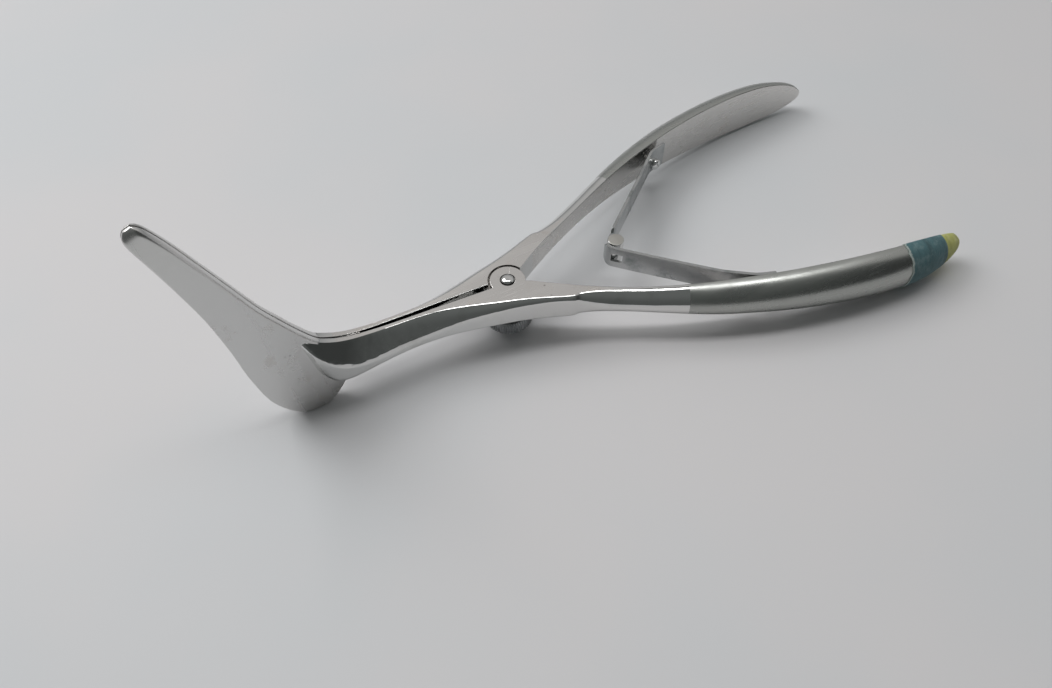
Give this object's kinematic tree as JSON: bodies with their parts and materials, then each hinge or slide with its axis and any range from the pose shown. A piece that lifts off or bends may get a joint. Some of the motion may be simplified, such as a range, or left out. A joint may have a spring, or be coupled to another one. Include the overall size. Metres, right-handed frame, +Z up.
{
  "type": "nasal speculum",
  "caption": "Long-bladed nasal speculum: two pivoted steel halves with upturned blades, a knurled lock nut and a linked pair of leaf springs; one handle end is taped.",
  "frame": {"origin": "on the table under the middle of the instrument's box, lying on its heels and handle edges with the handles at rest", "axes": "+X from the blades towards the handle ends, +Y towards the untaped right handle, +Z up; the pivot axis leans 3.68 degrees from +Z towards +X"},
  "size_m": [0.1742, 0.0764, 0.0679],
  "materials": {
    "polished_steel": "polished stainless steel, satin on the blades and grips",
    "nut_steel": "turned and knurled steel",
    "spring_steel": "spring steel with dull blotches",
    "barrel_metal": "dull turned end face",
    "teal_tape": "worn fibrous marking tape",
    "yellow_tape": "worn fibrous marking tape"
  },
  "bodies": {
    "left_side": {"left_half": "polished_steel", "pivot_screw": "polished_steel", "left_spring_foot": "spring_steel", "left_spring_screw": "polished_steel", "colour_band": "teal_tape", "tip_wrap": "yellow_tape"},
    "right_side": {"right_half": "polished_steel", "right_spring_foot": "spring_steel", "right_spring_screw": "polished_steel"},
    "left_leaf": {"left_spring_leaf": "spring_steel", "spring_barrel": "barrel_metal"},
    "right_leaf": {"right_spring_leaf": "spring_steel"},
    "washer": {"lock_washer": "nut_steel"},
    "nut": {"thumb_nut": "nut_steel"}
  },
  "joints": [
    {"name": "squeeze", "type": "hinge", "parent": "left_side", "child": "right_side", "pos_m": [-0.01946, 0.001, 0.01272], "axis": [-0.0642, 0, -0.9979], "range_deg": [0, 25], "stiffness_Nm_per_rad": 0.6, "springref_deg": -14.32},
    {"name": "left_leaf_bend", "type": "hinge", "parent": "left_side", "child": "left_leaf", "pos_m": [0.0327, -0.02323, 0.00976], "axis": [0.0642, 0, 0.9979], "range_deg": [0, 12]},
    {"name": "right_leaf_bend", "type": "hinge", "parent": "right_side", "child": "right_leaf", "pos_m": [0.0327, 0.02522, 0.00976], "axis": [-0.0642, 0, -0.9979], "range_deg": [0, 12]},
    {"name": "nut_travel", "type": "slide", "parent": "left_side", "child": "washer", "axis": [-0.0642, 0, -0.9979], "range_m": [0, 0.0007]},
    {"name": "nut_turn", "type": "hinge", "parent": "washer", "child": "nut", "pos_m": [-0.01946, 0.001, 0.01272], "axis": [-0.0642, 0, -0.9979], "range_deg": [0, 360]}
  ],
  "couplings": [
    {"joint": "left_leaf_bend", "follows": "squeeze", "ratio": 0.475},
    {"joint": "right_leaf_bend", "follows": "squeeze", "ratio": 0.475},
    {"joint": "nut_turn", "follows": "nut_travel", "rad_per_m": 8976}
  ]
}
